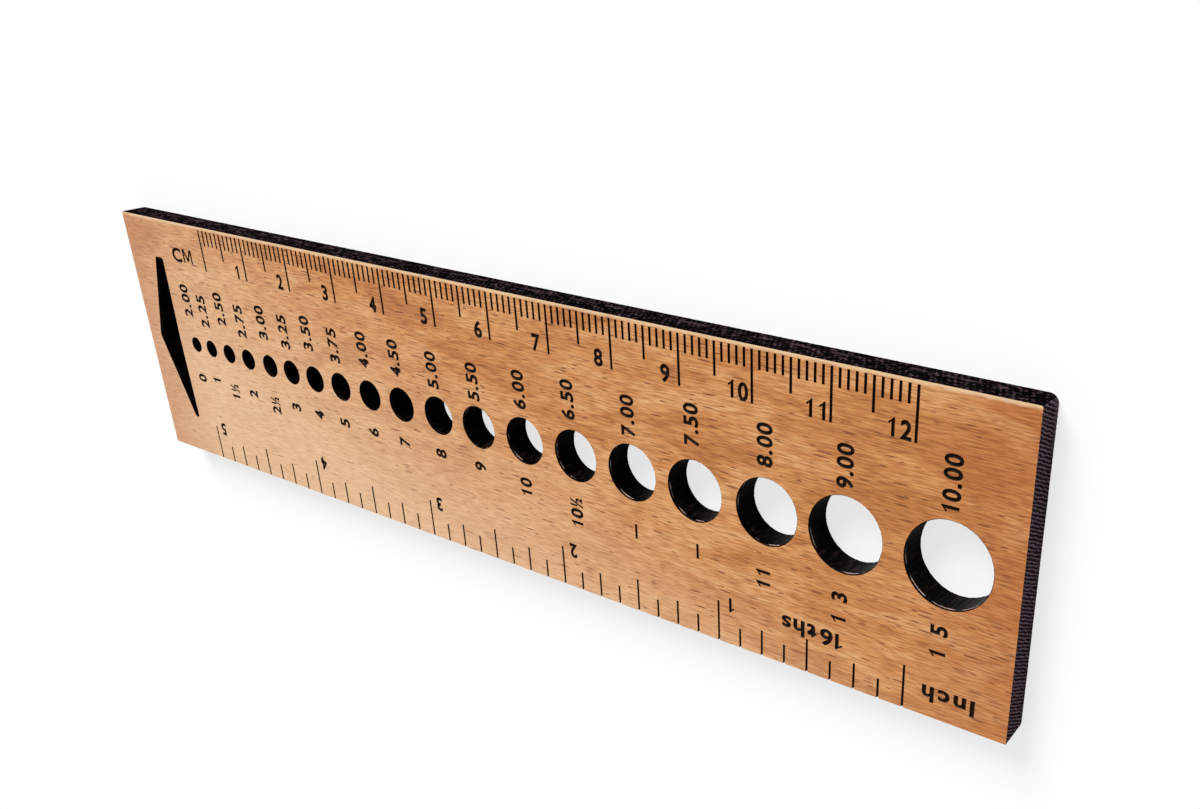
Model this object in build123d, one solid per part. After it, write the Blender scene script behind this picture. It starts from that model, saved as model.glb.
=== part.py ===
# Knitting needle gauge: one flat laser-cut beech plate.
# A row of sizing holes runs along the middle, a slim triangular window sits at the
# small end, a centimetre scale is engraved along the back edge and an inch scale,
# read from the other side, along the front edge.
# The plate lies on its back: z = 0 is the back face, the engraved face is up,
# +X points to the largest hole and +Y to the centimetre scale.
import os

from build123d import *

os.makedirs("parts", exist_ok=True)

# Plate
WIDTH = 38.4
THICKNESS = 3.6
CORNER_RADIUS = 0.5

# Triangular window: straight side towards the holes, point towards the small end
WINDOW_END_WALL = 3.05      # wood between the small end and the point
WINDOW_WIDTH = 5.6          # from the point to the straight side
WINDOW_HEIGHT = 25.2
WINDOW_TOP_WIDTH = 1.9      # blunt end towards the centimetre scale
WINDOW_FOOT_WIDTH = 0.9     # narrow end towards the inch scale
WINDOW_SIDE_BEND = 0.25     # the straight side bends in this much half way
WINDOW_RADIUS = 0.4

# Sizing holes: needle size, and the wood before the hole, from the window or the last hole
HOLE_ROW = [
    (2.00, 3.10),
    (2.25, 1.65),
    (2.50, 2.00),
    (2.75, 2.00),
    (3.00, 2.30),
    (3.25, 1.80),
    (3.50, 1.85),
    (3.75, 2.00),
    (4.00, 2.25),
    (4.50, 2.15),
    (5.00, 2.45),
    (5.50, 2.20),
    (6.00, 2.40),
    (6.50, 2.30),
    (7.00, 2.20),
    (7.50, 2.05),
    (8.00, 2.20),
    (9.00, 1.60),
    (10.00, 2.70),
]
HOLE_CLEARANCE = 0.2        # how much wider than its needle each hole is cut
LARGE_END_WALL = 3.3        # wood between the largest hole and the large end

# Engraving
ENGRAVE_DEPTH = 0.3
CM_LINE = 0.35               # line width of the centimetre scale
INCH_LINE = 0.25            # line width of the inch scale
SCALE_END = 12.0            # plate left free past the last centimetre or inch

# Centimetre scale: zero is measured from the small end
MM_PER_CM = 10
CM_ZERO = 20.0
CM_INSET = 0.55             # gap between the plate's edge and the lines
CM_LINE_LENGTH = 6.15
HALF_CM_LINE_LENGTH = 4.0
MM_LINE_LENGTH = 2.2

# Inch scale: zero is measured from the large end, lines run out at the plate's edge
INCH = 25.4
PARTS_PER_INCH = 8
INCH_ZERO = 12.7
INCH_LINE_LENGTH = 5.65
HALF_LINE_LENGTH = 4.55
QUARTER_LINE_LENGTH = 3.55
EIGHTH_LINE_LENGTH = 2.7


def hole_places():
    """Radius and distance from the small end of each hole, and where the row ends."""
    places = []
    row_end = WINDOW_END_WALL + WINDOW_WIDTH
    for size, wall_before in HOLE_ROW:
        radius = (size + HOLE_CLEARANCE) / 2
        places.append((radius, row_end + wall_before + radius))
        row_end += wall_before + 2 * radius
    return places, row_end


HOLES, ROW_END = hole_places()
LENGTH = ROW_END + LARGE_END_WALL


def from_small_end(distance):
    """X of a point measured from the small end of the plate."""
    return distance - LENGTH / 2


def centimetre_line_length(number):
    """Length of the line at that many millimetres."""
    if number % MM_PER_CM == 0:
        return CM_LINE_LENGTH
    if 2 * number % MM_PER_CM == 0:
        return HALF_CM_LINE_LENGTH
    return MM_LINE_LENGTH


def inch_line_length(number):
    """Length of the line at that many eighths of an inch."""
    if number % PARTS_PER_INCH == 0:
        return INCH_LINE_LENGTH
    if 2 * number % PARTS_PER_INCH == 0:
        return HALF_LINE_LENGTH
    if 4 * number % PARTS_PER_INCH == 0:
        return QUARTER_LINE_LENGTH
    return EIGHTH_LINE_LENGTH


def plate_blank():
    """Flat plate with rounded corners, standing on z = 0."""
    blank = Box(LENGTH, WIDTH, THICKNESS, align=(Align.CENTER, Align.CENTER, Align.MIN))
    return fillet(blank.edges().filter_by(Axis.Z), CORNER_RADIUS)


def hole_cutters():
    """One cylinder per needle size, all on the plate's long middle line."""
    cutters = []
    for radius, distance in HOLES:
        centre = Pos(from_small_end(distance), 0, THICKNESS / 2)
        cutters.append(centre * Cylinder(radius, THICKNESS * 2))
    return cutters


def window_cutter():
    """Slim triangle with blunt ends, cut right through."""
    point = from_small_end(WINDOW_END_WALL)
    side = point + WINDOW_WIDTH
    top = WINDOW_HEIGHT / 2
    corners = [
        (point, 0),
        (side - WINDOW_TOP_WIDTH, top),
        (side, top),
        (side - WINDOW_SIDE_BEND, 0),
        (side, -top),
        (side - WINDOW_FOOT_WIDTH, -top),
    ]
    prism = extrude(make_face(Polyline(*corners, close=True)), THICKNESS * 2)
    prism = fillet(prism.edges().filter_by(Axis.Z), WINDOW_RADIUS)
    return Pos(0, 0, -THICKNESS / 2) * prism


def line_cutter(x, y_low, y_high, width):
    """Shallow straight groove in the engraved face."""
    groove = Box(width, y_high - y_low, ENGRAVE_DEPTH * 2)
    return Pos(x, (y_low + y_high) / 2, THICKNESS) * groove


def centimetre_lines():
    """Millimetre, five millimetre and centimetre lines along the back edge."""
    centimetres = int((LENGTH - CM_ZERO - SCALE_END) // MM_PER_CM)
    y_high = WIDTH / 2 - CM_INSET
    cutters = []
    for number in range(centimetres * MM_PER_CM + 1):
        x = from_small_end(CM_ZERO + number)
        y_low = y_high - centimetre_line_length(number)
        cutters.append(line_cutter(x, y_low, y_high, CM_LINE))
    return cutters


def inch_lines():
    """Eighth, quarter, half and whole inch lines running out at the front edge."""
    inches = int((LENGTH - INCH_ZERO - SCALE_END) // INCH)
    y_edge = -WIDTH / 2
    cutters = []
    for number in range(inches * PARTS_PER_INCH + 1):
        x = from_small_end(LENGTH - INCH_ZERO - number * INCH / PARTS_PER_INCH)
        y_high = y_edge + inch_line_length(number)
        cutters.append(line_cutter(x, y_edge - INCH_LINE, y_high, INCH_LINE))
    return cutters


plate = plate_blank()
plate = plate - hole_cutters()
plate = plate - window_cutter()
plate = plate - centimetre_lines()
plate = plate - inch_lines()

export_step(plate, "parts/plate.step")
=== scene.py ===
"""Knitting needle gauge: a laser-cut beech plate lying on its back, engraved face up.

The CAD plate fixes the outline and the hole row. This script builds the plate again with
the fine detail that the cutting and engraving laser leaves, and dresses it as scorched beech.
"""

import logging
import math
from dataclasses import dataclass, field
from enum import Enum, IntEnum

import bmesh
import bpy
from bmesh.types import BMEdge, BMesh, BMFace, BMVert
from bpy.types import Material, Node, NodeTree, Object
from bpy.types import NodeSocket as Socket
from mathutils import Matrix, Vector, noise


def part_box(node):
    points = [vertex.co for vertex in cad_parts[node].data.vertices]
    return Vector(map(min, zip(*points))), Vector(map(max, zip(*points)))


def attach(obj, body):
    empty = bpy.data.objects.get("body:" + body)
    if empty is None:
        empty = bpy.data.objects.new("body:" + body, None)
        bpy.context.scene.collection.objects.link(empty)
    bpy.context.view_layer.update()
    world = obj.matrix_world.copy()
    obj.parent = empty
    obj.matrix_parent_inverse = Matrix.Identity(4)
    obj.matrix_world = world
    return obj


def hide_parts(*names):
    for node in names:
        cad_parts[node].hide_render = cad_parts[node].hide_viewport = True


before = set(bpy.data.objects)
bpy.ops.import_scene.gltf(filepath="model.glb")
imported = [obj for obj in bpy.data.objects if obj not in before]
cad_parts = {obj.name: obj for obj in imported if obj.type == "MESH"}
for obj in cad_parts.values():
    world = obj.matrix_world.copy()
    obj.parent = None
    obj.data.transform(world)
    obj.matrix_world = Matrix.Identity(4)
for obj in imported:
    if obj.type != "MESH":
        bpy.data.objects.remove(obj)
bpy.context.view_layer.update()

LOG = logging.getLogger("needle_gauge")
PER_METRE = 1000.0          # all sizes below are millimetres
NODE = "plate"
BODY = "root"
WALL_LEAN = 0.3             # upward share of a normal, below which the face is a wall
WOOD_IOR = 1.5

# a place, a size or a turn along x, y and z
Triple = tuple[float, float, float]
Colour = tuple[float, float, float, float]
Tones = tuple[tuple[float, str], ...]       # places on a ramp with their sRGB hex colours
WHITE: Colour = (1.0, 1.0, 1.0, 1.0)


class Surface(IntEnum):
    """Material slot of each kind of surface on the plate."""

    FACE = 0        # planed and oiled beech, engraved side and back
    EDGE = 1        # scorched long edges, cut along the grain
    END = 2         # scorched ends, cut across the grain; their lighter tones are partly the end grain's char and partly painted light
    BORE = 3        # scorched walls of the larger holes, with a painted glint just under the rim
    MARK = 4        # burnt floor and walls of the engraving
    NARROW = 5      # walls of the small holes and the window, black char with only a faint painted glint under the rim


class Reading(Enum):
    """Turn of a label on the plate, in degrees."""

    ALONG = 0.0         # upright, read with the centimetre scale at the top
    UPWARDS = 90.0      # read from the bottom up
    REVERSED = 180.0    # read with the inch scale at the top


def new_mesh(work: BMesh, name: str) -> Object:
    """Turns a bmesh into a linked object.

    Args:
        work: the bmesh, which is freed.
        name: name for the mesh and the object.

    Returns:
        The new object, at the origin.
    """
    mesh = bpy.data.meshes.new(name)
    work.to_mesh(mesh)
    work.free()
    made = bpy.data.objects.new(name, mesh)
    bpy.context.scene.collection.objects.link(made)
    return made


def discard(spent: Object) -> None:
    """Removes an object and its mesh or curve once it is used up.

    Args:
        spent: the object.
    """
    data = spent.data
    bpy.data.objects.remove(spent)
    if isinstance(data, bpy.types.Mesh):
        bpy.data.meshes.remove(data)
    else:
        bpy.data.curves.remove(data)


def merge_into(whole: BMesh, part: BMesh) -> None:
    """Adds a part to a whole and frees the part.

    Args:
        whole: the bmesh that grows.
        part: the bmesh that goes into it.
    """
    scratch = bpy.data.meshes.new("scratch")
    part.to_mesh(scratch)
    part.free()
    whole.from_mesh(scratch)
    bpy.data.meshes.remove(scratch)


def is_wall(face: BMFace) -> bool:
    """Whether a face stands upright."""
    return abs(face.normal.z) < WALL_LEAN


def extent(work: BMesh, axis: int) -> tuple[float, float]:
    """Lowest and highest place of a mesh along an axis."""
    places = [vertex.co[axis] for vertex in work.verts]
    return min(places), max(places)


def width_of(work: BMesh) -> float:
    """Width of a label or sign from its first to its last stroke."""
    left, right = extent(work, 0)
    return right - left


def new_vertices(result: dict) -> list[BMVert]:
    """Picks the vertices out of what an extrusion has made."""
    return [part for part in result["geom"] if isinstance(part, BMVert)]


def edges_within(work: BMesh, ring: list[BMVert]) -> list[BMEdge]:
    """Edges that run between the vertices of a ring."""
    inside = set(ring)
    return [edge for edge in work.edges if all(vertex in inside for vertex in edge.verts)]


def raise_outline(work: BMesh, height: float) -> list[BMVert]:
    """Raises the flat face of a mesh to a solid.

    Args:
        work: mesh that holds the one flat face.
        height: height of the solid.

    Returns:
        The vertices of the solid's top.
    """
    lifted = new_vertices(bmesh.ops.extrude_face_region(work, geom=work.faces[:]))
    bmesh.ops.translate(work, vec=(0, 0, height), verts=lifted)
    return lifted


@dataclass(frozen=True)
class LaserWall:
    """Fine upright ridges that the cutting beam leaves on every wall, in mm."""

    pitch: float = 0.3          # mean distance from ridge to ridge
    drift: float = 5.0          # height over which a ridge changes
    depth: float = 0.035        # from the mean wall to a crest
    waver: float = 2.2          # length of the slower waver under the ridges
    waver_share: float = 0.5    # its depth, of the ridges' depth
    waver_start: float = 7.0    # where in the noise it starts
    facet: float = 0.13         # length of wall between two columns of vertices
    whole_facets: int = 6       # an edge up to this many facets long stays whole
    levels: int = 4             # rows of vertices cut into the wall's height
    flattest: float = 0.2       # level share of a normal, below which a vertex stays put

    def offset(self, point: Vector) -> float:
        """How far the wall stands out at a point.

        Args:
            point: the point on the smooth wall.

        Returns:
            Offset along the wall's outward normal.
        """
        height = point.z / self.drift
        ridge = Vector((point.x / self.pitch, point.y / self.pitch, height))
        waver = Vector((point.x / self.waver, point.y / self.waver, height + self.waver_start))
        return self.depth * (noise.noise(ridge) + self.waver_share * noise.noise(waver))

    def roughen(self, work: BMesh, inset: float = 0.0) -> None:
        """Pushes the vertices of all upright faces in and out along their normals.

        Args:
            work: mesh whose walls are already divided.
            inset: how far the whole wall is moved inwards first.
        """
        work.normal_update()
        moves = []
        for vertex in {v for f in work.faces if is_wall(f) for v in f.verts}:
            level = Vector((vertex.normal.x, vertex.normal.y, 0.0))
            if level.length > self.flattest:
                moves.append((vertex, level.normalized() * (self.offset(vertex.co) - inset)))
        for vertex, move in moves:
            vertex.co += move

    def outline(self, corners: list[Triple], radius: float, segments: int) -> BMesh:
        """Starts a cut or a blank: one flat face with rounded corners and divided sides.

        Args:
            corners: the sharp corners in order.
            radius: radius that the corners are given.
            segments: facets in each rounded corner.

        Returns:
            The mesh with the one face.
        """
        work = bmesh.new()
        sharp = [work.verts.new(corner) for corner in corners]
        work.faces.new(sharp)
        bmesh.ops.bevel(
            work, geom=sharp, offset=radius, segments=segments,
            affect="VERTICES", profile=0.5, material=-1,
        )
        shortest = self.whole_facets * self.facet
        for edge in [e for e in work.edges if e.calc_length() > shortest]:
            cuts = int(edge.calc_length() / self.facet)
            bmesh.ops.subdivide_edges(work, edges=[edge], cuts=cuts)
        return work

    def divide_height(self, work: BMesh, low: float, high: float) -> None:
        """Cuts level rows of vertices into the walls.

        Args:
            work: mesh whose walls run at least from low to high.
            low: height of the wall's foot.
            high: height of the wall's top.
        """
        for step in range(1, self.levels + 1):
            level = low + (high - low) * step / (self.levels + 1)
            everything = work.verts[:] + work.edges[:] + work.faces[:]
            bmesh.ops.bisect_plane(
                work, geom=everything, plane_co=(0, 0, level), plane_no=(0, 0, 1)
            )


@dataclass
class Blank:
    """The plate before anything is cut through it, in mm."""

    low: Vector
    high: Vector
    foot_radius: float = 1.1    # corners at the back face, where they burn away
    top_radius: float = 0.3     # corners at the engraved face
    corner_facets: int = 10
    rim: float = 0.1            # scorched, slightly eased rim
    inset: float = 1.5          # of the walls, in ridge depths, so that no crest stands out
    wall_corners: int = 8       # a face with more corners than this is one of the two sides
    wall: LaserWall = field(default_factory=LaserWall)

    def _sharpen_corners(self, lifted: list[BMVert]) -> None:
        """Draws the rounded corners of the top outline out to their smaller radius.

        Args:
            lifted: vertices of the top outline, still with the radius of the foot.
        """
        centre = (self.low + self.high) / 2
        reach = self.foot_radius - self.top_radius
        slack = -0.001          # takes in the two ends of each arc
        for vertex in lifted:
            side_x = math.copysign(1.0, vertex.co.x - centre.x)
            side_y = math.copysign(1.0, vertex.co.y - centre.y)
            corner_x = self.high.x if side_x > 0 else self.low.x
            corner_y = self.high.y if side_y > 0 else self.low.y
            turn_x = (vertex.co.x - corner_x) / self.foot_radius + side_x
            turn_y = (vertex.co.y - corner_y) / self.foot_radius + side_y
            if turn_x * side_x > slack and turn_y * side_y > slack:
                vertex.co.x += reach * (side_x - turn_x)
                vertex.co.y += reach * (side_y - turn_y)

    def build(self) -> Object:
        """Makes the blank with its ridged outer wall.

        Returns:
            The blank as an object, in mm.
        """
        foot, top = self.low.z + self.rim, self.high.z - self.rim
        corners = [
            (self.low.x, self.low.y, foot),
            (self.high.x, self.low.y, foot),
            (self.high.x, self.high.y, foot),
            (self.low.x, self.high.y, foot),
        ]
        work = self.wall.outline(corners, self.foot_radius, self.corner_facets)
        self._sharpen_corners(raise_outline(work, top - foot))
        bmesh.ops.recalc_face_normals(work, faces=work.faces)
        self.wall.divide_height(work, foot, top)
        for side in [f for f in work.faces if len(f.verts) > self.wall_corners]:
            bmesh.ops.inset_region(work, faces=[side], thickness=self.rim, depth=self.rim)
        work.normal_update()
        for face in work.faces:
            across = abs(face.normal.x) > abs(face.normal.y)
            wall = Surface.END if across else Surface.EDGE
            is_side = len(face.verts) > self.wall_corners
            face.material_index = Surface.FACE if is_side else wall
        self.wall.roughen(work, inset=self.inset * self.wall.depth)
        return new_mesh(work, "blank")


@dataclass(frozen=True)
class ThroughCut:
    """Common sizes of the holes and the window, in mm."""

    thickness: float
    surface: Surface
    rim: float = 0.1            # scorched, slightly eased rim
    wall: LaserWall = field(default_factory=LaserWall)

    def cutter(self, work: BMesh, centre: Vector, span: float, name: str) -> Object:
        """Raises a closed flat outline through the plate, flared a little at both faces.

        Args:
            work: mesh that holds one flat face, seen as the outline at the back face.
            centre: middle of the outline.
            span: half the outline's smaller width, by which the flare is scaled.
            name: name of the cutter.

        Returns:
            The cutter as an object, in mm.
        """
        stations = [
            (-self.rim, 2 * self.rim),
            (self.rim, 0.0),
            (self.thickness - self.rim, 0.0),
            (self.thickness + self.rim, 2 * self.rim),
        ]
        ring = work.verts[:]
        last_z, last_flare = 0.0, 0.0
        for number, (z, flare) in enumerate(stations):
            if number:
                raised = bmesh.ops.extrude_edge_only(work, edges=edges_within(work, ring))
                ring = new_vertices(raised)
            factor = (span + flare) / (span + last_flare)
            shift = Matrix.Translation(-Vector((centre.x, centre.y, last_z)))
            bmesh.ops.scale(work, vec=(factor, factor, 1.0), space=shift, verts=ring)
            bmesh.ops.translate(work, vec=(0, 0, z - last_z), verts=ring)
            last_z, last_flare = z, flare
        bmesh.ops.contextual_create(work, geom=edges_within(work, ring))
        self.wall.divide_height(work, self.rim, self.thickness - self.rim)
        bmesh.ops.recalc_face_normals(work, faces=work.faces)
        self.wall.roughen(work)
        for face in work.faces:
            face.material_index = self.surface
        return new_mesh(work, name)


@dataclass(frozen=True)
class HoleSpec:
    """One place in the hole row, in mm; heights are measured from the inch edge."""

    size: float                 # needle that just passes
    wood_before: float          # wood between this hole and the one before
    label_foot: float           # where the size label starts above the hole
    number: str                 # needle number, or a dash where a size has none
    number_top: float           # where the needle number ends below the hole
    label_aside: float = 0.2    # of the label's middle from the hole's, to the small end
    number_step: float = 1.5    # from one digit of the needle number to the next


@dataclass(frozen=True)
class SizingHole:
    """One round hole that a needle of its size just passes, in mm."""

    x: float                    # its middle, which lies on the plate's middle line
    radius: float
    spec: HoleSpec
    cut: ThroughCut
    fewest_facets: int = 48

    @property
    def label(self) -> str:
        """The size as it is engraved."""
        return f"{self.spec.size:.2f}"

    def cutter(self) -> Object:
        """Makes the solid that is taken out of the plate.

        Returns:
            The cutter as an object, in mm.
        """
        work = bmesh.new()
        facets = int(2 * math.pi * self.radius / self.cut.wall.facet)
        centre = Vector((self.x, 0.0, 0.0))
        bmesh.ops.create_circle(
            work, cap_ends=True, segments=max(self.fewest_facets, facets),
            radius=self.radius, matrix=Matrix.Translation(centre),
        )
        name = "hole_" + self.label.replace(".", "_")
        return self.cut.cutter(work, centre, self.radius, name)


@dataclass(frozen=True)
class Window:
    """Slim triangular window at the small end, in mm from that end and the middle line."""

    small_end: float
    cut: ThroughCut
    end_wall: float = 3.05
    width: float = 5.6
    height: float = 25.2
    top_width: float = 1.9
    foot_width: float = 0.9
    side_bend: float = 0.25
    corner: float = 0.4
    corner_facets: int = 6
    flare_place: float = 0.4    # share of the width from the straight side to the middle

    @property
    def side(self) -> float:
        """Place of the straight side, from which the hole row is measured."""
        return self.small_end + self.end_wall + self.width

    def cutter(self) -> Object:
        """Makes the solid that is taken out of the plate.

        Returns:
            The cutter as an object, in mm.
        """
        side, top = self.side, self.height / 2
        corners = [
            (side - self.width, 0.0, 0.0),
            (side - self.foot_width, -top, 0.0),
            (side, -top, 0.0),
            (side - self.side_bend, 0.0, 0.0),
            (side, top, 0.0),
            (side - self.top_width, top, 0.0),
        ]
        work = self.cut.wall.outline(corners, self.corner, self.corner_facets)
        centre = Vector((side - self.width * self.flare_place, 0.0, 0.0))
        return self.cut.cutter(work, centre, self.width / 2, "window")


@dataclass(frozen=True)
class Lettering:
    """Plain sans-serif numbers and words, engraved like the scales, in mm."""

    face_height: float          # height of the engraved face
    depth: float
    digit_height: float = 0.729  # of the type size, in Blender's own font
    weight: float = 0.1         # by which each stroke is widened on both sides
    digit_width: float = 0.48   # widest digit, of the type size
    one_middle: float = 0.25    # middle of the 1, of the type size
    widening: float = 1.22      # of the letters of a word
    fineness: int = 5           # steps in each curve of a sign
    finest: float = 0.03        # corners closer than this become one
    level: float = 0.01         # an edge that rises less than this is level
    outer_mitre: float = 0.6    # a sharper corner isn't drawn out any further
    inner_mitre: float = 0.25

    def _from_font(self, sign: str, type_size: float) -> BMesh:
        """Makes a single sign from Blender's own font, as a closed solid.

        Args:
            sign: the sign.
            type_size: size of the type.

        Returns:
            The solid, standing on the baseline from x = 0.
        """
        curve = bpy.data.curves.new("type", "FONT")
        curve.body = sign
        curve.size = type_size
        curve.extrude = self.depth
        curve.resolution_u = self.fineness
        holder = bpy.data.objects.new("type", curve)
        bpy.context.scene.collection.objects.link(holder)
        graph = bpy.context.evaluated_depsgraph_get()
        mesh = bpy.data.meshes.new_from_object(holder.evaluated_get(graph))
        work = bmesh.new()
        work.from_mesh(mesh)
        bpy.data.meshes.remove(mesh)
        discard(holder)
        bmesh.ops.remove_doubles(work, verts=work.verts, dist=self.finest)
        bmesh.ops.recalc_face_normals(work, faces=work.faces)
        self._widen(work)
        return work

    def _is_level(self, edge: BMEdge) -> bool:
        """Whether an edge belongs to the top or bottom outline of a sign."""
        return abs(edge.verts[0].co.z - edge.verts[1].co.z) < self.level

    def _widen(self, work: BMesh) -> None:
        """Widens the strokes of a sign by moving its walls outwards.

        Args:
            work: the sign as a closed solid.
        """
        work.normal_update()
        walls = [f for f in work.faces if is_wall(f)]
        outline = {e: None for f in walls for e in f.edges if self._is_level(e)}
        ways = {edge: edge.verts[1].co - edge.verts[0].co for edge in outline}
        moves = []
        for vertex in {v for f in walls for v in f.verts}:
            beside = [f for f in vertex.link_faces if is_wall(f)]
            lean = sum((f.normal for f in beside), Vector()).normalized()
            spread = min(lean.dot(f.normal) for f in beside)
            middle = sum((f.calc_center_median() for f in beside), Vector()) / len(beside)
            outward = lean.dot(Vector((vertex.co.x, vertex.co.y, middle.z)) - middle) > 0
            mitre = self.outer_mitre if outward else self.inner_mitre
            moves.append((vertex, lean * self.weight / max(mitre, spread)))
        for vertex, move in moves:
            vertex.co += move
        # an edge that now runs the other way would cross its neighbours
        turned = [e for e, way in ways.items() if (e.verts[1].co - e.verts[0].co).dot(way) <= 0]
        bmesh.ops.collapse(work, edges=turned)

    def _plain_one(self) -> list[tuple[float, float]]:
        """Draws a 1 with a flag and no foot.

        Returns:
            Its corners in order, in shares of the type size.
        """
        left, right, flag, top = 0.232, 0.373, 0.105, self.digit_height
        return [
            (left, 0.0), (right, 0.0), (right, top), (right - 0.055, top),
            (0.21, top - 0.11), (flag, top - 0.175), (flag, top - 0.26),
            (0.185, top - 0.23), (left, top - 0.17),
        ]

    def _capital_m(self) -> list[tuple[float, float]]:
        """Draws a capital M, whose own strokes in the font can't be widened.

        Returns:
            Its corners in order, in shares of the type size.
        """
        width, stroke, top = 0.66, 0.105, self.digit_height
        left, right, middle = 0.08, 0.08 + width, 0.08 + width / 2
        return [
            (left, 0.0), (left + stroke, 0.0), (left + stroke, top * 0.78),
            (middle - stroke * 0.5, top * 0.12), (middle + stroke * 0.5, top * 0.12),
            (right - stroke, top * 0.78), (right - stroke, 0.0), (right, 0.0),
            (right, top), (right - stroke * 1.4, top), (middle, top * 0.36),
            (left + stroke * 1.4, top), (left, top),
        ]

    def _sign(self, sign: str, type_size: float) -> BMesh:
        """Makes one sign, drawn here or taken from the font.

        Args:
            sign: the sign.
            type_size: size of the type.

        Returns:
            The solid, standing on the baseline from x = 0.
        """
        drawn = {"1": self._plain_one, "M": self._capital_m}
        if sign not in drawn:
            return self._from_font(sign, type_size)
        work = bmesh.new()
        corners = [(x * type_size, y * type_size, -self.depth) for x, y in drawn[sign]()]
        work.faces.new([work.verts.new(corner) for corner in corners])
        raise_outline(work, 2 * self.depth)
        bmesh.ops.recalc_face_normals(work, faces=work.faces)
        return work

    def number(self, text: str, height: float, step: float, point_step: float = 0.0) -> BMesh:
        """Sets a number digit by digit at an even step.

        Args:
            text: digits, points and fractions.
            height: height of a digit.
            step: from one digit to the next.
            point_step: extra room that the point takes.

        Returns:
            The solid, standing on the baseline.
        """
        type_size = height / self.digit_height
        work = bmesh.new()
        place = 0.0
        for sign in text:
            part = self._sign(sign, type_size)
            if sign not in "1.":
                factor = min(1.0, self.digit_width * type_size / width_of(part))
                bmesh.ops.scale(part, vec=(factor, 1.0, 1.0), verts=part.verts)
            middle = self.one_middle * type_size if sign == "1" else sum(extent(part, 0)) / 2
            if sign == ".":
                place += point_step
                move = place - (step + point_step) / 2 - middle
            else:
                move = place - middle
                place += step
            bmesh.ops.translate(part, vec=(move, 0, 0), verts=part.verts)
            merge_into(work, part)
        return work

    def word(self, text: str, height: float, gap: float) -> BMesh:
        """Sets a word letter by letter with an even gap.

        Args:
            text: the word.
            height: height of a capital.
            gap: clear room between two letters.

        Returns:
            The solid, standing on the baseline from x = 0.
        """
        work = bmesh.new()
        place = 0.0
        for sign in text:
            part = self._sign(sign, height / self.digit_height)
            bmesh.ops.scale(part, vec=(self.widening, 1.0, 1.0), verts=part.verts)
            left, right = extent(part, 0)
            bmesh.ops.translate(part, vec=(place - left, 0, 0), verts=part.verts)
            place += right - left + gap
            merge_into(work, part)
        return work

    def place(self, label: BMesh, centre: tuple[float, float], reading: Reading) -> BMesh:
        """Turns a label about its middle and puts the middle at its place on the face.

        Args:
            label: the label.
            centre: where its middle goes.
            reading: which way it reads.

        Returns:
            The same label.
        """
        middle = Vector((sum(extent(label, 0)) / 2, sum(extent(label, 1)) / 2, 0.0))
        bmesh.ops.translate(label, vec=-middle, verts=label.verts)
        turn = Matrix.Rotation(math.radians(reading.value), 3, "Z")
        bmesh.ops.rotate(label, matrix=turn, verts=label.verts)
        bmesh.ops.translate(label, vec=(*centre, self.face_height), verts=label.verts)
        return label


@dataclass(frozen=True)
class Word:
    """One engraved word, in mm."""

    text: str
    height: float
    gap: float              # clear room between two letters
    from_zero: float        # from the zero of its scale to its middle
    from_edge: float        # from the inch edge to its middle
    reading: Reading


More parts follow.
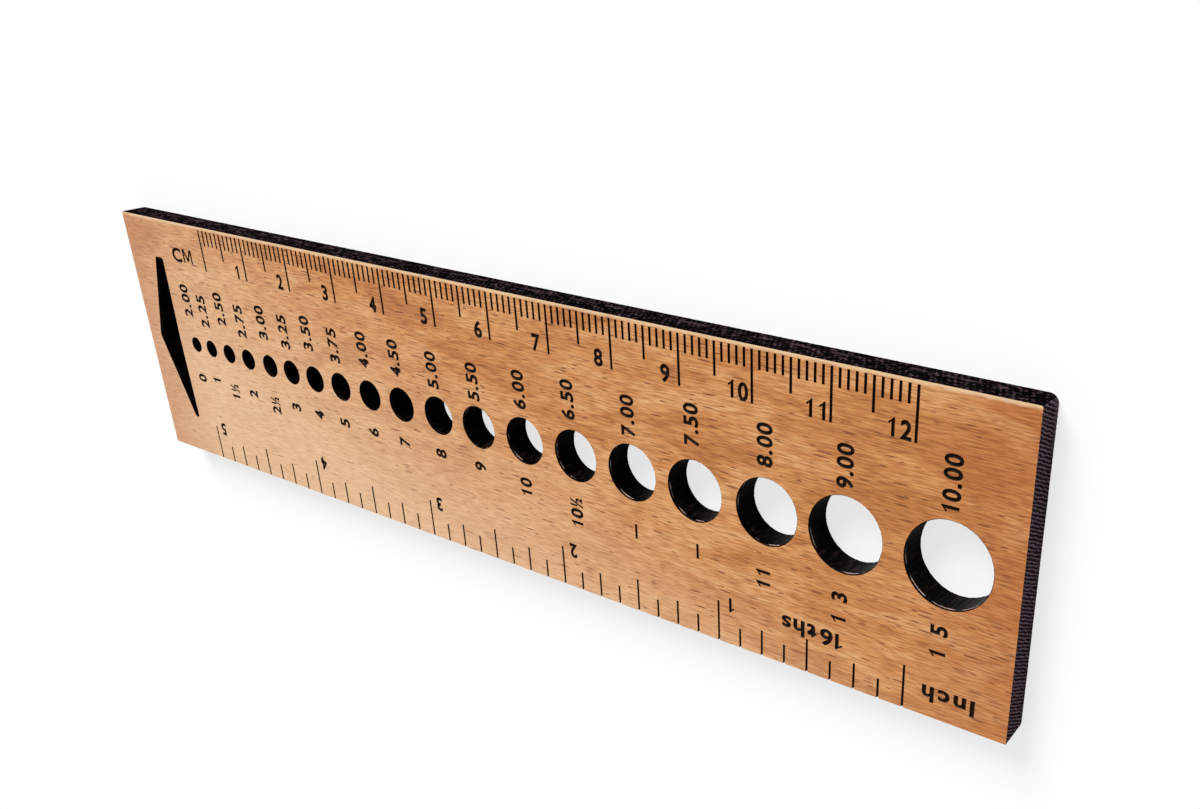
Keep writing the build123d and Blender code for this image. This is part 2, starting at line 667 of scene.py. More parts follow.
@dataclass
class Engraving:
    """Both scales and all numbers and words on the face, in mm."""

    low: Vector
    high: Vector
    holes: list[SizingHole]
    depth: float = 0.3
    cm_line: float = 0.35
    cm_zero: float = 20.0               # from the small end
    cm_count: int = 12
    mm_per_cm: int = 10
    cm_inset: float = 0.55              # of the lines from the edge
    cm_length: float = 6.15
    half_cm_length: float = 4.0
    mm_length: float = 2.2
    cm_number_height: float = 2.1
    cm_number_foot: float = 6.1         # below the top of the lines
    cm_number_step: float = 1.62
    cm_numbers_before: tuple[float, float] = (2.0, 1.85)    # one or two digits, to the line
    cm_word: Word = Word("CM", 2.1, 0.4, -5.7, 33.3, Reading.ALONG)
    inch_line: float = 0.3
    inch: float = 25.4
    inch_zero: float = 12.7             # from the large end
    inch_count: int = 5
    parts_per_inch: int = 8
    inch_length: float = 5.65
    half_length: float = 4.55
    quarter_length: float = 3.55
    eighth_length: float = 2.7
    inch_number_height: float = 2.0
    inch_number_step: float = 1.6
    inch_number_before: float = 1.95    # from the number's middle to its line
    inch_number_middle: float = 5.5     # from the inch edge
    inch_words: tuple[Word, ...] = (
        Word("16ths", 2.1, 0.3, -12.1, 5.65, Reading.REVERSED),
        Word("Inch", 2.0, 0.45, 5.5, 3.05, Reading.REVERSED),
    )
    size_height: float = 2.05
    size_step: float = 1.5
    size_point_step: float = 0.8
    needle_height: float = 2.0
    needle_aside: float = 0.45          # of the number's middle from the hole's, to the small end
    dash_aside: float = 0.2             # of the dash from the hole's middle, to the large end
    dash_length: float = 2.0

    def __post_init__(self) -> None:
        """Opens the type case."""
        self.type_case = Lettering(face_height=self.high.z, depth=self.depth)

    def cutter(self) -> Object:
        """Makes all the engraving as one solid to be taken out of the face.

        Returns:
            The cutter as an object, in mm.
        """
        work = bmesh.new()
        self._centimetre_scale(work)
        self._inch_scale(work)
        for hole in self.holes:
            self._hole_labels(work, hole)
        for face in work.faces:
            face.material_index = Surface.MARK
        return new_mesh(work, "engraving")

    def _line(self, work: BMesh, x: float, span: tuple[float, float], width: float) -> None:
        """Adds one straight line across the edge of the plate.

        Args:
            work: mesh that the line is added to.
            x: middle of the line.
            span: lowest and highest y of the line.
            width: width of the line.
        """
        made = bmesh.ops.create_cube(work, size=1.0)["verts"]
        bmesh.ops.scale(work, vec=(width, span[1] - span[0], 2 * self.depth), verts=made)
        bmesh.ops.translate(work, vec=(x, sum(span) / 2, self.high.z), verts=made)

    def _label(
        self, work: BMesh, label: BMesh, centre: tuple[float, float], reading: Reading
    ) -> None:
        """Adds a label at its place.

        Args:
            work: mesh that the label is added to.
            label: the label.
            centre: where its middle goes.
            reading: which way it reads.
        """
        merge_into(work, self.type_case.place(label, centre, reading))

    def _word(self, work: BMesh, word: Word, zero: float) -> None:
        """Adds a word beside its scale.

        Args:
            work: mesh that the word is added to.
            word: the word.
            zero: place of the scale's zero.
        """
        label = self.type_case.word(word.text, word.height, word.gap)
        centre = (zero + word.from_zero, self.low.y + word.from_edge)
        self._label(work, label, centre, word.reading)

    def _centimetre_scale(self, work: BMesh) -> None:
        """Adds the lines, numbers and word of the scale along the centimetre edge.

        Args:
            work: mesh that the scale is added to.
        """
        top = self.high.y - self.cm_inset
        zero = self.low.x + self.cm_zero
        for number in range(self.cm_count * self.mm_per_cm + 1):
            length = self.mm_length
            if number % self.mm_per_cm == 0:
                length = self.cm_length
            elif 2 * number % self.mm_per_cm == 0:
                length = self.half_cm_length
            self._line(work, zero + number, (top - length, top), self.cm_line)
        middle = top - self.cm_number_foot + self.cm_number_height / 2
        for centimetre in range(1, self.cm_count + 1):
            text = str(centimetre)
            label = self.type_case.number(text, self.cm_number_height, self.cm_number_step)
            place = zero + self.mm_per_cm * centimetre - self.cm_numbers_before[len(text) - 1]
            self._label(work, label, (place, middle), Reading.ALONG)
        self._word(work, self.cm_word, zero)

    def _inch_scale(self, work: BMesh) -> None:
        """Adds the lines, numbers and words of the scale along the inch edge, reversed.

        Args:
            work: mesh that the scale is added to.
        """
        foot = self.low.y
        zero = self.high.x - self.inch_zero
        lengths = {0: self.inch_length, self.parts_per_inch // 2: self.half_length}
        for number in range(self.inch_count * self.parts_per_inch + 1):
            even = self.quarter_length if number % 2 == 0 else self.eighth_length
            length = lengths.get(number % self.parts_per_inch, even)
            x = zero - number * self.inch / self.parts_per_inch
            self._line(work, x, (foot - self.inch_line, foot + length), self.inch_line)
        for inch in range(1, self.inch_count + 1):
            label = self.type_case.number(
                str(inch), self.inch_number_height, self.inch_number_step
            )
            place = zero - inch * self.inch + self.inch_number_before
            self._label(work, label, (place, foot + self.inch_number_middle), Reading.REVERSED)
        for word in self.inch_words:
            self._word(work, word, zero)

    def _hole_labels(self, work: BMesh, hole: SizingHole) -> None:
        """Adds the millimetre size above a hole and the needle number or dash below it.

        Args:
            work: mesh that the labels are added to.
            hole: the hole.
        """
        spec = hole.spec
        label = self.type_case.number(
            hole.label, self.size_height, self.size_step, self.size_point_step
        )
        middle = self.low.y + spec.label_foot + width_of(label) / 2
        self._label(work, label, (hole.x - spec.label_aside, middle), Reading.UPWARDS)
        top = self.low.y + spec.number_top
        if spec.number == "-":
            span = (top - self.dash_length, top)
            self._line(work, hole.x + self.dash_aside, span, self.cm_line)
            return
        label = self.type_case.number(spec.number, self.needle_height, spec.number_step)
        centre = (hole.x - self.needle_aside, top - width_of(label) / 2)
        self._label(work, label, centre, Reading.UPWARDS)


@dataclass
class GaugePlate:
    """The whole gauge: blank, holes, window and engraving in one solid piece, in mm."""

    finishes: list[Material]        # one for each surface, in their order
    hole_row: tuple[HoleSpec, ...] = (
        HoleSpec(2.00, 3.10, 23.6, "0", 14.3),
        HoleSpec(2.25, 1.65, 22.5, "1", 14.3),
        HoleSpec(2.50, 2.00, 23.6, "1½", 14.3),
        HoleSpec(2.75, 2.00, 22.5, "2", 14.3),
        HoleSpec(3.00, 2.30, 23.3, "2½", 14.3),
        HoleSpec(3.25, 1.80, 22.8, "3", 14.3),
        HoleSpec(3.50, 1.85, 23.5, "4", 14.3),
        HoleSpec(3.75, 2.00, 22.75, "5", 14.3),
        HoleSpec(4.00, 2.25, 23.25, "6", 14.3),
        HoleSpec(4.50, 2.15, 23.3, "7", 14.3),
        HoleSpec(5.00, 2.45, 23.0, "8", 14.3),
        HoleSpec(5.50, 2.20, 22.9, "9", 14.2),
        HoleSpec(6.00, 2.40, 23.5, "10", 14.0),
        HoleSpec(6.50, 2.30, 23.9, "10½", 13.4, label_aside=0.65),
        HoleSpec(7.00, 2.20, 23.9, "-", 12.4),
        HoleSpec(7.50, 2.05, 24.85, "-", 12.4),
        HoleSpec(8.00, 2.20, 24.7, "11", 11.7),
        HoleSpec(9.00, 1.60, 24.7, "13", 12.05, number_step=2.9),
        HoleSpec(10.00, 2.70, 25.2, "15", 11.9, number_step=2.9),
    )
    clearance: float = 0.2
    narrow_up_to: float = 5.0       # largest hole whose wall has only the faint painted glint

    def __post_init__(self) -> None:
        """Reads the plate's corners from the CAD node and sets out window and holes."""
        low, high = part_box(NODE)
        self.low = low * PER_METRE
        self.high = high * PER_METRE
        thickness = self.high.z - self.low.z
        self.wide_cut = ThroughCut(thickness, Surface.BORE)
        self.narrow_cut = ThroughCut(thickness, Surface.NARROW)
        self.window = Window(self.low.x, self.narrow_cut)
        self.holes = self._set_out_holes()

    def _set_out_holes(self) -> list[SizingHole]:
        """Puts the holes in their row from the window on.

        Returns:
            The holes, smallest first.
        """
        holes = []
        reached = self.window.side
        for spec in self.hole_row:
            radius = (spec.size + self.clearance) / 2
            centre = reached + spec.wood_before + radius
            cut = self.wide_cut if spec.size > self.narrow_up_to else self.narrow_cut
            holes.append(SizingHole(centre, radius, spec, cut))
            reached = centre + radius
        return holes

    def build(self) -> Object:
        """Builds the finished plate at its place on the CAD frame.

        Returns:
            The plate, in metres.
        """
        plate = Blank(self.low, self.high).build()
        self._dress(plate)
        self._cut(plate, self.window.cutter())
        for hole in self.holes:
            self._cut(plate, hole.cutter())
        self._cut(plate, Engraving(self.low, self.high, self.holes).cutter())
        plate.name = "gauge_plate"
        work = bmesh.new()
        work.from_mesh(plate.data)
        bmesh.ops.scale(work, vec=(1 / PER_METRE,) * 3, verts=work.verts)
        work.to_mesh(plate.data)
        work.free()
        return plate

    def _dress(self, made: Object) -> None:
        """Gives the blank or a cutter the material of each surface."""
        for finish in self.finishes:
            made.data.materials.append(finish)

    def _cut(self, plate: Object, cutter: Object) -> None:
        """Takes a cutter out of the plate and discards the cutter.

        Args:
            plate: the piece that is cut.
            cutter: the solid that is taken out.
        """
        self._dress(cutter)
        change = plate.modifiers.new("cut", "BOOLEAN")
        change.operation = "DIFFERENCE"
        change.solver = "MANIFOLD"
        change.object = cutter
        graph = bpy.context.evaluated_depsgraph_get()
        mesh = bpy.data.meshes.new_from_object(plate.evaluated_get(graph))
        plate.modifiers.remove(change)
        spent = plate.data
        plate.data = mesh
        bpy.data.meshes.remove(spent)
        LOG.info("%s cut, the plate has %d faces", cutter.name, len(mesh.polygons))
        discard(cutter)


def linear(colour: str) -> Colour:
    """Turns an sRGB hex colour into the linear values that the shaders take.

    Args:
        colour: six hex digits after a hash sign.

    Returns:
        Red, green, blue and full alpha.
    """
    values = [int(colour[i:i + 2], 16) / 255 for i in (1, 3, 5)]
    made = [v / 12.92 if v <= 0.04045 else ((v + 0.055) / 1.055) ** 2.4 for v in values]
    return (made[0], made[1], made[2], 1.0)


def add_node(
    tree: NodeTree, kind: str, inputs: dict | None = None, tones: Tones = (),
    **settings: object,
) -> Node:
    """Adds a shader node and fills it in.

    Args:
        tree: the node tree.
        kind: type of node, without the common beginning of its name.
        inputs: sockets by name or number, each a value or an output to link.
        tones: the colours of a ramp, in rising order of their places.
        settings: properties of the node.

    Returns:
        The node.
    """
    node = tree.nodes.new("ShaderNode" + kind)
    for key, value in settings.items():
        setattr(node, key, value)
    for key, value in (inputs or {}).items():
        if isinstance(value, Socket):
            tree.links.new(value, node.inputs[key])
        else:
            node.inputs[key].default_value = value
    if tones:
        stops = node.color_ramp.elements
        while len(stops) < len(tones):
            stops.new(0.5)
        for stop, (place, colour) in zip(stops, tones):
            stop.position = place
            stop.color = linear(colour)
    return node


def mm_scale(x: float, y: float, z: float) -> Triple:
    """Pattern scale for a noise whose features are x by y by z mm large."""
    return (PER_METRE / x, PER_METRE / y, PER_METRE / z)


@dataclass(frozen=True)
class Layer:
    """A tone that is laid over another."""

    share: Socket
    tone: Socket | Colour
    blend: str = "MIX"


@dataclass(frozen=True)
class Canvas:
    """A material that is being made, with its node tree and its shader."""

    material: Material
    tree: NodeTree
    shader: Node

    @property
    def place(self) -> Socket:
        """Place on the object in metres, which every pattern reads."""
        return add_node(self.tree, "TexCoord").outputs["Object"]

    def along(self, axis: str) -> Socket:
        """Place along one axis, X, Y or Z."""
        return add_node(self.tree, "SeparateXYZ", {"Vector": self.place}).outputs[axis]

    def pattern(
        self, size: Triple, detail: float = 2.0, distortion: float = 0.0, start: float = 0.0
    ) -> Socket:
        """Adds a noise with features of a given size on the object.

        Args:
            size: length of a feature along x, y and z, in mm.
            detail: how many finer layers are added.
            distortion: how far the pattern is bent.
            start: where in the noise the pattern starts.

        Returns:
            The noise value, from 0 to 1.
        """
        mapping = add_node(
            self.tree, "Mapping",
            {"Vector": self.place, "Location": (start, 0.0, 0.0), "Scale": mm_scale(*size)},
        )
        texture = add_node(
            self.tree, "TexNoise",
            {"Vector": mapping.outputs[0], "Scale": 1.0, "Detail": detail,
             "Distortion": distortion},
        )
        return texture.outputs["Fac"]

    def lay_over(self, tone: Socket, layers: list[Layer]) -> Socket:
        """Lays tones over one another in order.

        Args:
            tone: the tone underneath.
            layers: what is laid over it.

        Returns:
            The final tone.
        """
        for layer in layers:
            node = add_node(
                self.tree, "Mix", {0: layer.share, 6: tone, 7: layer.tone},
                data_type="RGBA", blend_type=layer.blend,
            )
            tone = node.outputs[2]
        return tone

    def coat(self, tone: Socket, relief: Socket, strength: float, depth: float) -> Material:
        """Gives the shader its colour and a fine relief.

        Args:
            tone: the colour.
            relief: height of the relief, from 0 to 1.
            strength: how much the relief shows.
            depth: depth of the relief, in mm.

        Returns:
            The finished material.
        """
        bump = add_node(
            self.tree, "Bump",
            {"Height": relief, "Strength": strength, "Distance": depth / PER_METRE},
        )
        self.tree.links.new(tone, self.shader.inputs["Base Color"])
        self.tree.links.new(bump.outputs["Normal"], self.shader.inputs["Normal"])
        return self.material


@dataclass(frozen=True)
class Finish:
    """A finish: one material with the values that all finishes share."""

    name: str
    roughness: float
    ior: float

    def start(self) -> Canvas:
        """Makes the material with its shader.

        Returns:
            The material with its tree and shader, for the pattern to be added.
        """
        material = bpy.data.materials.new(self.name)
        material.use_nodes = True
        shader = material.node_tree.nodes["Principled BSDF"]
        shader.inputs["Roughness"].default_value = self.roughness
        shader.inputs["IOR"].default_value = self.ior
        shader.inputs["Metallic"].default_value = 0.0
        return Canvas(material, material.node_tree, shader)


@dataclass(frozen=True)
class Flecks:
    """Short dark strokes of the medullary rays, scattered along the grain."""

    room: Triple             # that each stroke has along x, y and z, in mm
    strength: float
    start: float            # where in the pattern the strokes start


@dataclass(frozen=True)
class OiledBeech(Finish):
    """Planed beech with an oil finish: warm tan, soft figure and short dark flecks.

    Places are in mm from the middle of the plate.
    """

    figure_tones: Tones = ((0.36, "#C38143"), (0.5, "#D8995B"), (0.64, "#E1AB74"))
    figure_size: Triple = (13.0, 3.2, 8.0)
    pale: str = "#EAC39D"           # paler towards the small end and the inch edge: partly the wood's own drift, partly painted light
    pale_lean: float = 3.0          # a mm across the plate counts as much as this many along
    pale_start: float = 20.0
    pale_full: float = -70.0
    pale_share: float = 0.9
    fibre_tones: Tones = ((0.3, "#A87A48"), (0.5, "#E6CFB0"), (0.64, "#FFFFFF"))
    fibre_size: Triple = (2.1, 0.17, 0.17)   # a little coarser than real, so that they show
    contrast: float = 0.8           # of fibres and flecks where the wood isn't pale
    contrast_loss: float = 0.5      # what it loses by where the wood is palest
    fleck: str = "#783C12"
    fleck_sets: tuple[Flecks, ...] = (
        Flecks((4.6, 0.46, 0.8), 1.6, 3.0),
        Flecks((2.2, 0.38, 0.5), 1.5, 47.0),
    )
    fleck_turn: float = -1.5        # degrees between the grain and the plate's edge
    fleck_rim: tuple[float, float] = (0.24, 0.14)       # no stroke yet, and all of it
    fleck_chance: tuple[float, float] = (0.55, 0.85)    # none below, all of it above
    soaked: str = "#B86C34"
    soak_size: Triple = (9.0, 5.0, 8.0)
    soak_start: float = 69.0        # towards both ends
    soak_full: float = 81.0
    soak_wander: float = 12.0
    soak_share: float = 0.5
    # a pale line along the centimetre edge: partly bare wood, partly a painted highlight on the
    # eased rim
    rim: str = "#EBCBA2"
    rim_size: Triple = (1.2, 40.0, 40.0)
    rim_start: float = 18.75        # towards the centimetre edge
    rim_blur: float = 0.3
    rim_share: float = 0.8
    relief: float = 0.03            # depth of the open fibres
    relief_strength: float = 0.3

    def build(self) -> Material:
        """Makes the material.

        Returns:
            The material.
        """
        canvas = self.start()
        tree = canvas.tree
        # soft cloudy figure, a few millimetres across and longer along the plate
        figure = canvas.pattern(self.figure_size, distortion=0.8)
        figured = add_node(tree, "ValToRGB", {"Fac": figure}, self.figure_tones)
        paleness = self._paleness(canvas)
        # fine fibres, which catch the oil unevenly and tint the wood
        fibres = canvas.pattern(self.fibre_size, detail=3.0, distortion=0.25)
        tint = add_node(tree, "ValToRGB", {"Fac": fibres}, self.fibre_tones)
        # the paler the wood, the less its fibres and flecks stand out
        contrast = add_node(
            tree, "Math", {0: paleness, 1: -self.contrast_loss, 2: self.contrast},
            operation="MULTIPLY_ADD",
        ).outputs[0]
        layers = [
            Layer(paleness, linear(self.pale)),
            Layer(self._soak(canvas), linear(self.soaked)),
            Layer(contrast, tint.outputs["Color"], "MULTIPLY"),
        ]
        for flecks in self.fleck_sets:
            share = self._strokes(canvas, flecks)
            for factor in (flecks.strength, contrast):
                part = add_node(tree, "Math", {0: share, 1: factor}, operation="MULTIPLY")
                share = part.outputs[0]
            layers.append(Layer(share, linear(self.fleck)))
        layers.append(Layer(self._rim_share(canvas), linear(self.rim)))
        tone = canvas.lay_over(figured.outputs["Color"], layers)
        return canvas.coat(tone, fibres, self.relief_strength, self.relief)

    def _paleness(self, canvas: Canvas) -> Socket:
        """Lets the paler tone drift over the plate from corner to corner: partly the wood's own
        tone, partly painted light.

        Args:
            canvas: the material.

        Returns:
            Share of the paler tone.
        """
        lean = add_node(
            canvas.tree, "Math",
            {0: canvas.along("Y"), 1: self.pale_lean, 2: canvas.along("X")},
            operation="MULTIPLY_ADD",
        )
        return add_node(
            canvas.tree, "MapRange",
            {"Value": lean.outputs[0], "From Min": self.pale_start / PER_METRE,
             "From Max": self.pale_full / PER_METRE, "To Max": self.pale_share},
        ).outputs[0]

    def _soak(self, canvas: Canvas) -> Socket:
        """Deepens the tone towards both ends.

        Args:
            canvas: the material.

        Returns:
            Share of the deeper tone.
        """
        reach = add_node(canvas.tree, "Math", {0: canvas.along("X")}, operation="ABSOLUTE")
        wander = canvas.pattern(self.soak_size)
        bent = add_node(
            canvas.tree, "Math",
            {0: wander, 1: self.soak_wander / PER_METRE, 2: reach.outputs[0]},
            operation="MULTIPLY_ADD",
        )
        return add_node(
            canvas.tree, "MapRange",
            {"Value": bent.outputs[0], "From Min": self.soak_start / PER_METRE,
             "From Max": self.soak_full / PER_METRE, "To Max": self.soak_share},
        ).outputs[0]

    def _strokes(self, canvas: Canvas, flecks: Flecks) -> Socket:
        """Adds one set of flecks.

        Args:
            canvas: the material.
            flecks: the set.

        Returns:
            The strength of the strokes, from 0 to 1.
        """
        tree = canvas.tree
        mapping = add_node(
            tree, "Mapping",
            {"Vector": canvas.place, "Location": (flecks.start, flecks.start / 2, 0.0),
             "Rotation": (0.0, 0.0, math.radians(self.fleck_turn)),
             "Scale": mm_scale(*flecks.room)},
        )
        cells = add_node(
            tree, "TexVoronoi", {"Vector": mapping.outputs[0], "Scale": 1.0, "Randomness": 1.0}
        )
        chance = add_node(tree, "SeparateColor", {"Color": cells.outputs["Color"]})
        # a stroke in the middle of a cell, and only in some of the cells
        limits = [
            (cells.outputs["Distance"], self.fleck_rim),
            (chance.outputs[0], self.fleck_chance),
        ]
        stroke, kept = [
            add_node(tree, "MapRange", {"Value": value, "From Min": none, "From Max": full})
            for value, (none, full) in limits
        ]
        both = add_node(
            tree, "Math", {0: stroke.outputs[0], 1: kept.outputs[0]}, operation="MULTIPLY"
        )
        return both.outputs[0]

    def _rim_share(self, canvas: Canvas) -> Socket:
        """Paints a pale line along the centimetre edge: partly bare wood, partly a painted
        highlight on the eased rim.

        Args:
            canvas: the material.

        Returns:
            Share of the pale line's tone.
        """
        wander = canvas.pattern(self.rim_size)
        reach = add_node(
            canvas.tree, "Math",
            {0: wander, 1: self.rim_blur / PER_METRE, 2: canvas.along("Y")},
            operation="MULTIPLY_ADD",
        )
        return add_node(
            canvas.tree, "MapRange",
            {"Value": reach.outputs[0], "From Min": self.rim_start / PER_METRE,
             "From Max": (self.rim_start + self.rim_blur) / PER_METRE,
             "To Max": self.rim_share},
        ).outputs[0]


@dataclass(frozen=True)
class Band:
    """Level stripe of another tone on a scorched wall, in mm from the back face; on the hole
    walls it is a painted highlight just under the rim.
    """

    low: float
    high: float
    colour: str
    share: float            # of the band's colour where it shows
    patch: float            # length of the patches in which it shows
    start: float = 0.0      # where in the pattern the patches start
    blur: float = 0.05      # softness of its two sides
    height: float = 40.0    # of the patches, which run through the whole wall
    limits: tuple[float, float] = (0.49, 0.6)   # no band yet, and all of it


@dataclass(frozen=True)
class LaserChar(Finish):
    """Wood scorched by the cutting beam: near black, satin, with a purple-brown sheen that is
    painted into the lighter tone of the ridges' crests.
    """

    dark: str
    middle: str
    light: str
    band: Band
    pitch: float = 0.34                 # from stripe to stripe, in mm
    ridge: Triple = (0.34, 0.34, 1.8)    # size of the uneven ridges, in mm
    lag: float = 2.0                    # height over which a stripe leans by 1 mm
    stripes: float = 0.0                # share of the even stripes in the ridges
    gloss: float = 0.0                  # level of the reflection
    relief: float = 0.06                # depth of the ridges, in mm
    relief_strength: float = 0.6
    tone_places: Triple = (0.36, 0.55, 0.76)     # of the three tones, from foot to crest
    wave_period: float = 2 * math.pi / 20   # of the wave texture at a scale of 1

    def build(self) -> Material:
        """Makes the material.

        Returns:
            The material.
        """
        canvas = self.start()
        tree = canvas.tree
        canvas.shader.inputs["Specular IOR Level"].default_value = self.gloss
        # rough ridges of uneven width, running through the thickness
        ridges = canvas.pattern(self.ridge, distortion=0.5)
        # even stripes, one for each pulse of the beam, along x and y alike; they lean
        # because the beam lags behind at the foot of the cut
        mapping = add_node(
            tree, "Mapping", {"Vector": canvas.place, "Scale": mm_scale(1.0, 1.0, -self.lag)}
        )
        pulses = add_node(
            tree, "TexWave",
            {"Vector": mapping.outputs[0], "Scale": self.wave_period / self.pitch,
             "Distortion": 3.5, "Detail": 2.0, "Detail Scale": 1.6},
            bands_direction="DIAGONAL",
        )
        relief = add_node(
            tree, "Mix", {0: self.stripes, 2: ridges, 3: pulses.outputs["Fac"]},
            data_type="FLOAT",
        ).outputs[0]
        # the crests' lighter purple-brown tone is partly the char's own colour and partly a
        # painted sheen
        tones = tuple(zip(self.tone_places, (self.dark, self.middle, self.light)))
        char = add_node(tree, "ValToRGB", {"Fac": relief}, tones)
        band = Layer(self._band_share(canvas), linear(self.band.colour))
        tone = canvas.lay_over(char.outputs["Color"], [band])
        return canvas.coat(tone, relief, self.relief_strength, self.relief)

    def _band_share(self, canvas: Canvas) -> Socket:
        """Lets the level band come and go along the wall.

        Args:
            canvas: the material.

        Returns:
            Share of the band's colour, from 0 to the band's own.
        """
        band = self.band
        height = canvas.along("Z")
        low, high, blur = band.low / PER_METRE, band.high / PER_METRE, band.blur / PER_METRE
        size = (band.patch, band.patch, band.height)
        patches = canvas.pattern(size, start=band.start)
        fades = [
            (height, high + blur, high - blur),
            (height, low - blur, low + blur),
            (patches, *band.limits),
        ]
        share = band.share
        for value, none, full in fades:
            fade = add_node(
                canvas.tree, "MapRange",
                {"Value": value, "From Min": none, "From Max": full, "To Max": share},
            )
            share = fade.outputs[0]
        return share


@dataclass(frozen=True)
class EngravedChar(Finish):
    """Floor of the engraving: dull brown-black burnt wood."""

    streak_tones: Tones = ((0.35, "#0D0704"), (0.75, "#2E1A0E"))
    streak_size: Triple = (1.6, 0.14, 0.14)
    gloss: float = 0.15         # level of the reflection

    def build(self) -> Material:
        """Makes the material.

        Returns:
            The material.
        """
        canvas = self.start()
        canvas.shader.inputs["Specular IOR Level"].default_value = self.gloss
        # burnt fibres show through as a finer, lighter streak
        streaks = canvas.pattern(self.streak_size, detail=3.0)
        tone = add_node(canvas.tree, "ValToRGB", {"Fac": streaks}, self.streak_tones)
        canvas.tree.links.new(tone.outputs["Color"], canvas.shader.inputs["Base Color"])
        return canvas.material


@dataclass(frozen=True)
class Studio:
    """White studio: wide pale floor, one soft lamp and an even surround, in metres."""

    floor_size: float = 40.0
    floor_gap: float = 0.00005      # keeps the floor and the plate's back apart
    floor_colour: str = "#FFFFFF"
    backdrop_share: float = 0.72    # of plain white that the camera sees in the floor
    surround: float = 0.38          # strength of the light from all sides
    lamp_strength: float = 3.95
    lamp_spread: float = 30.0       # degrees across, which makes the shadow soft
    lamp_place: Triple = (-0.36, 1.0, 0.6)

    def build(self) -> None:
        """Builds floor, lamp and surround."""
        self._floor()
        self._lamp()
        self._surround()
        bpy.context.scene.view_settings.view_transform = "Standard"

    def _floor(self) -> None:
        """Lays the floor of matt white card under the plate."""
        work = bmesh.new()
        bmesh.ops.create_grid(work, x_segments=1, y_segments=1, size=self.floor_size / 2)
        bmesh.ops.translate(work, vec=(0, 0, -self.floor_gap), verts=work.verts)
        floor = new_mesh(work, "floor")
        canvas = Finish("pale_matt_floor", roughness=0.9, ior=1.45).start()
        tree, shader = canvas.tree, canvas.shader
        shader.inputs["Base Color"].default_value = linear(self.floor_colour)
        shader.inputs["Specular IOR Level"].default_value = 0.0
        seen = add_node(tree, "LightPath").outputs["Is Camera Ray"]
        share = add_node(
            tree, "Math", {0: seen, 1: self.backdrop_share}, operation="MULTIPLY"
        )
        white = add_node(tree, "Emission", {"Color": WHITE, "Strength": 1.0})
        both = add_node(
            tree, "MixShader", {0: share.outputs[0], 1: shader.outputs[0], 2: white.outputs[0]}
        )
        tree.links.new(both.outputs[0], tree.nodes["Material Output"].inputs["Surface"])
        floor.data.materials.append(canvas.material)

    def _lamp(self) -> None:
        """Hangs the soft lamp behind the plate's centimetre edge, to the left."""
        light = bpy.data.lights.new("soft_lamp", "SUN")
        light.angle = math.radians(self.lamp_spread)
        light.energy = self.lamp_strength
        lamp = bpy.data.objects.new("soft_lamp", light)
        bpy.context.scene.collection.objects.link(lamp)
        place = Vector(self.lamp_place)
        lamp.location = place
        lamp.rotation_euler = (-place).to_track_quat("-Z", "Y").to_euler()

    def _surround(self) -> None:
        """Sets even light from all sides, seen as pure white."""
        world = bpy.data.worlds.new("surround")
        bpy.context.scene.world = world
        world.use_nodes = True
        tree = world.node_tree
        tree.nodes.clear()
        path = add_node(tree, "LightPath").outputs
        seen = path["Is Camera Ray"]
        for ray in ("Is Glossy Ray", "Is Transmission Ray"):
            either = add_node(tree, "Math", {0: seen, 1: path[ray]}, operation="MAXIMUM")
            seen = either.outputs[0]
        even = add_node(tree, "Background", {"Color": WHITE, "Strength": self.surround})
        white = add_node(tree, "Background", {"Color": WHITE, "Strength": 1.0})
        both = add_node(
            tree, "MixShader", {0: seen, 1: even.outputs[0], 2: white.outputs[0]}
        )
        add_node(tree, "OutputWorld", {"Surface": both.outputs[0]})


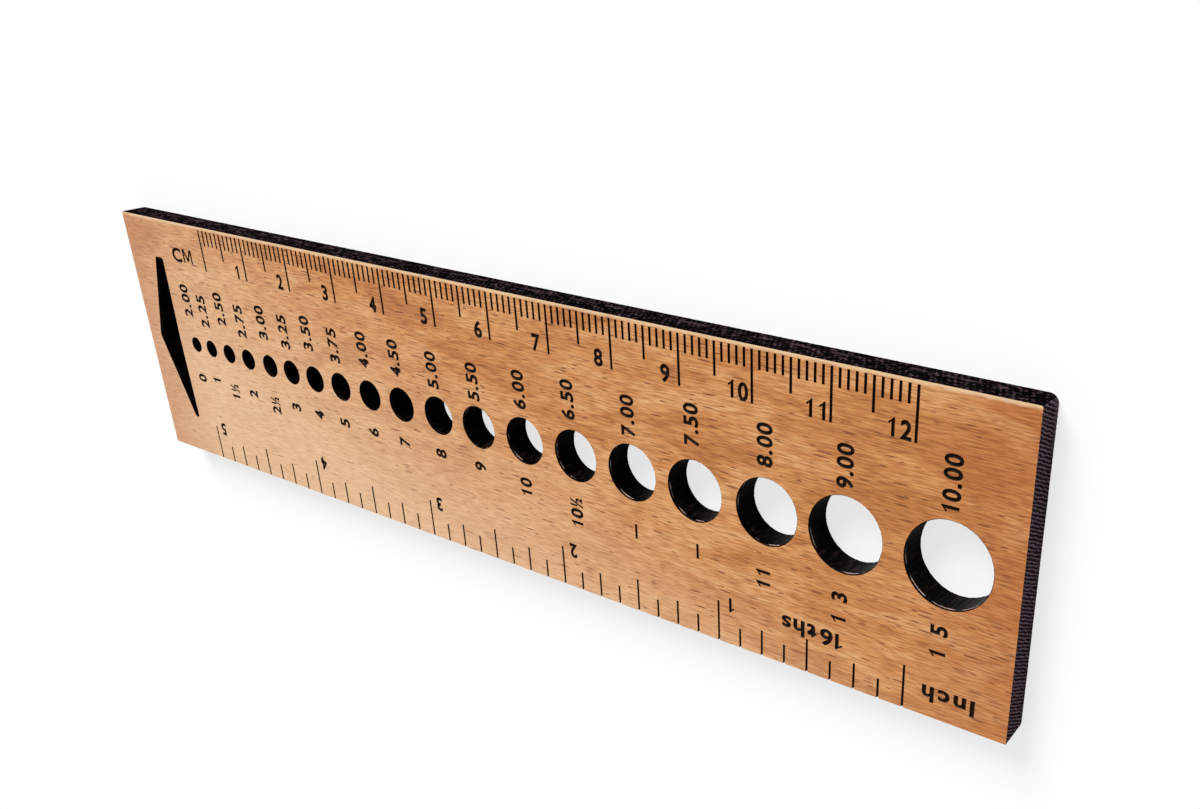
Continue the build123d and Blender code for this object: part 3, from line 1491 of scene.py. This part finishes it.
@dataclass(frozen=True)
class PhotoCamera:
    """Camera close over the large end, looking along the plate."""

    place: Triple = (0.12226, 0.06460, 0.11380)      # in metres
    turn: Triple = (-32.42, 38.42, -2.799)           # in degrees
    lens: float = 39.628
    sensor: float = 36.0
    shift: tuple[float, float] = (-0.0583, 0.1879)
    nearest: float = 0.005                          # in metres

    def build(self) -> None:
        """Sets the camera up."""
        data = bpy.data.cameras.new("camera")
        data.sensor_width = self.sensor
        data.sensor_fit = "HORIZONTAL"
        data.lens = self.lens
        data.shift_x, data.shift_y = self.shift
        data.clip_start = self.nearest
        data.dof.use_dof = False
        camera = bpy.data.objects.new("camera", data)
        camera.location = self.place
        camera.rotation_euler = [math.radians(angle) for angle in self.turn]
        bpy.context.scene.collection.objects.link(camera)
        bpy.context.scene.camera = camera


def plate_finishes() -> list[Material]:
    """Makes the finish of each surface of the plate.

    Returns:
        The materials, in the order of the surfaces.
    """
    finishes = {
        Surface.FACE: OiledBeech("oiled_beech", roughness=0.45, ior=WOOD_IOR),
        Surface.EDGE: LaserChar(
            "scorched_long_edge", 0.6, WOOD_IOR, "#040304", "#0C090A", "#4C3A42",
            Band(1.1, 1.5, "#4A3A40", 0.5, 2.5), ridge=(0.7, 0.7, 0.4), stripes=0.12,
        ),
        Surface.END: LaserChar(
            # the ends' lighter tones are partly the end grain's own char and partly painted
            # light, standing in for the light that falls on the ends
            "scorched_end_grain_painted_light", 0.6, WOOD_IOR, "#1E161A", "#3C3036", "#6A5660",
            Band(-1.0, 0.8, "#4E4244", 0.7, 12.0, start=3.0, blur=0.1), pitch=0.22,
            stripes=0.6,
        ),
        Surface.BORE: LaserChar(
            "scorched_bore", 0.35, WOOD_IOR, "#010101", "#030203", "#2A1C1A",
            # the pale, broken band just under the rim is a painted highlight: the glint of the
            # eased rim
            Band(3.26, 3.36, "#F4CCBC", 0.95, 2.4), gloss=0.02,
        ),
        Surface.MARK: EngravedChar("engraved_char", roughness=0.75, ior=WOOD_IOR),
        Surface.NARROW: LaserChar(
            "scorched_narrow_cut", 0.5, WOOD_IOR, "#010101", "#030203", "#1C1414",
            # a fainter painted highlight under the rim than on the larger holes
            Band(3.26, 3.36, "#4A3830", 0.6, 2.4), gloss=0.01,
        ),
    }
    return [finishes[surface].build() for surface in Surface]


def main() -> None:
    """Builds the studio, the plate and the camera, and reports each."""
    logging.basicConfig(level=logging.INFO, format="%(name)s: %(message)s")
    Studio().build()
    LOG.info("studio built")
    plate = GaugePlate(plate_finishes()).build()
    LOG.info("%s built with %d faces", plate.name, len(plate.data.polygons))
    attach(plate, BODY)
    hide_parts(NODE)
    PhotoCamera().build()
    LOG.info("camera set up")


if __name__ == "__main__":
    main()
